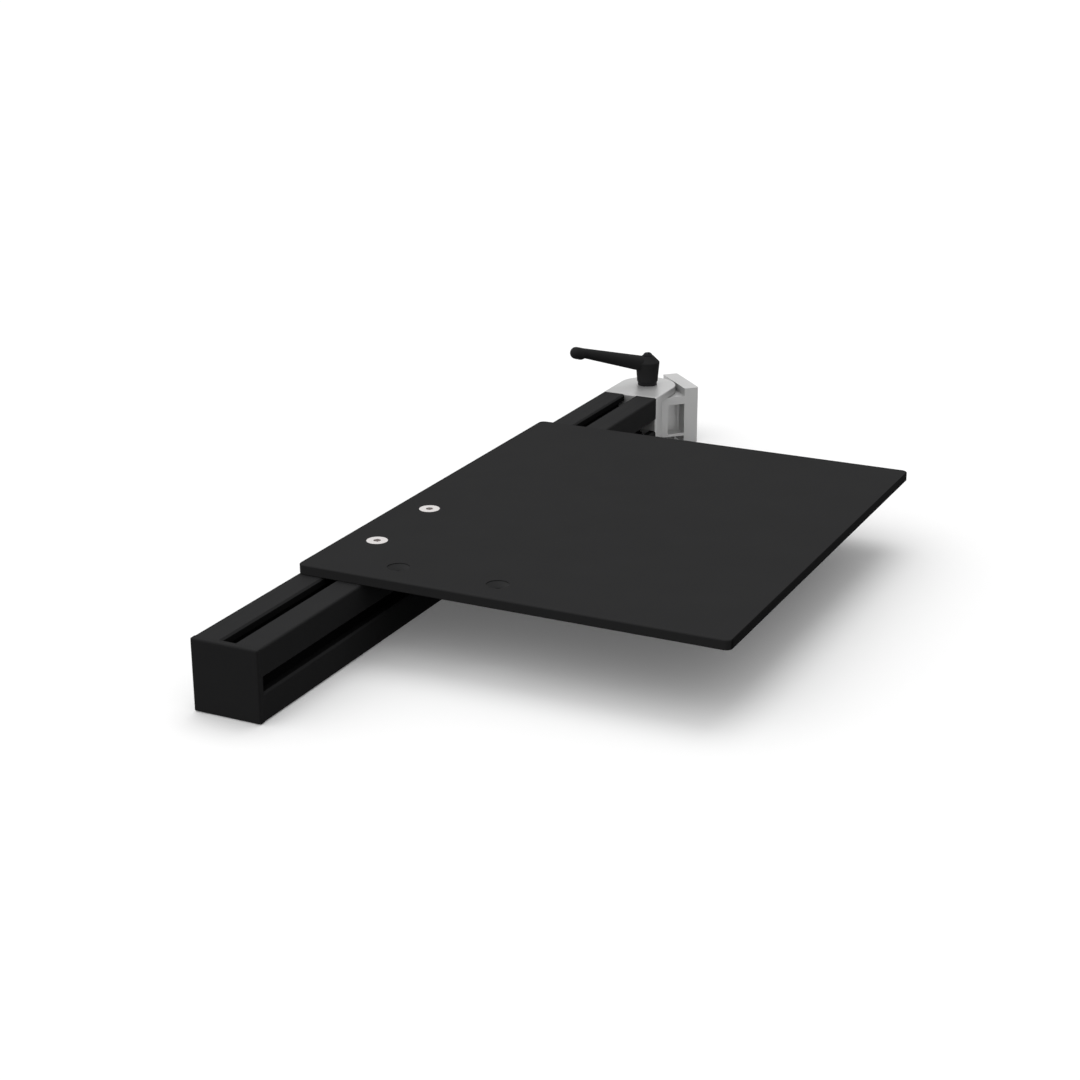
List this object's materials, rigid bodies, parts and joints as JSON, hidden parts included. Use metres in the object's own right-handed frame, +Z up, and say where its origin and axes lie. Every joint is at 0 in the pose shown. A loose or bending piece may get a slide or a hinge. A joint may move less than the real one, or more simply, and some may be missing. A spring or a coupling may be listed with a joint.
{
  "type": "sim rig mouse plate",
  "caption": "Flat mouse plate on a slot-profile arm that swings on a lockable pivot joint with a clamping lever, for a racing rig.",
  "frame": {"origin": "centre of the pivot joint's rig face, where the rig bolt's hole meets it", "axes": "+Y along the slot profile from its end cap to the pivot joint, +Z up, square to the plate's top"},
  "size_m": [0.2724, 0.5665, 0.0718],
  "materials": {
    "anodised_profile": "black anodised, fine matt",
    "anodised_plate": "black anodised, fine matt",
    "cap_plastic": "black moulded polyamide",
    "cast_joint": "die-cast, blasted silver",
    "bright_screw": "zinc plated, bright",
    "zinc_steel": "zinc plated",
    "lever_coat": "die-cast zinc, black powder coat",
    "black_steel": "black oxide"
  },
  "bodies": {
    "rig_mount": {"hinge_tongue": "cast_joint", "thrust_washer_upper": "zinc_steel", "thrust_washer_lower": "zinc_steel"},
    "arm": {"beam_profile": "anodised_profile", "end_cap": "cap_plastic", "hinge_fork": "cast_joint", "fork_screw": "zinc_steel", "pivot_bolt": "zinc_steel"},
    "plate_carriage": {"mouse_plate": "anodised_plate", "plate_screw_near": "bright_screw", "plate_screw_far": "bright_screw", "t_nut_near": "zinc_steel", "t_nut_far": "zinc_steel", "t_nut_ball_near": "zinc_steel", "t_nut_ball_far": "zinc_steel", "t_nut_spring_near": "zinc_steel", "t_nut_spring_far": "zinc_steel"},
    "lever_core": {"lever_insert": "black_steel", "lever_retaining_screw": "black_steel", "lever_spring": "zinc_steel"},
    "lever_grip": {"lever_handle": "lever_coat"}
  },
  "joints": [
    {"name": "arm_swing", "type": "hinge", "parent": "rig_mount", "child": "arm", "pos_m": [-0.02192, -0.02192, 0], "axis": [0, 0, 1], "range_deg": [-135, 45]},
    {"name": "plate_slide", "type": "slide", "parent": "arm", "child": "plate_carriage", "axis": [0, 1, 0], "range_m": [-0.1, 0.09]},
    {"name": "lever_turn", "type": "hinge", "parent": "arm", "child": "lever_core", "pos_m": [-0.02192, -0.02192, 0.02], "axis": [0, 0, 1], "range_deg": [0, 120]},
    {"name": "handle_lift", "type": "slide", "parent": "lever_core", "child": "lever_grip", "axis": [0, 0, 1], "range_m": [0, 0.003], "stiffness_N_per_m": 1500, "springref_m": -0.003, "deforming": ["lever_spring"]}
  ]
}
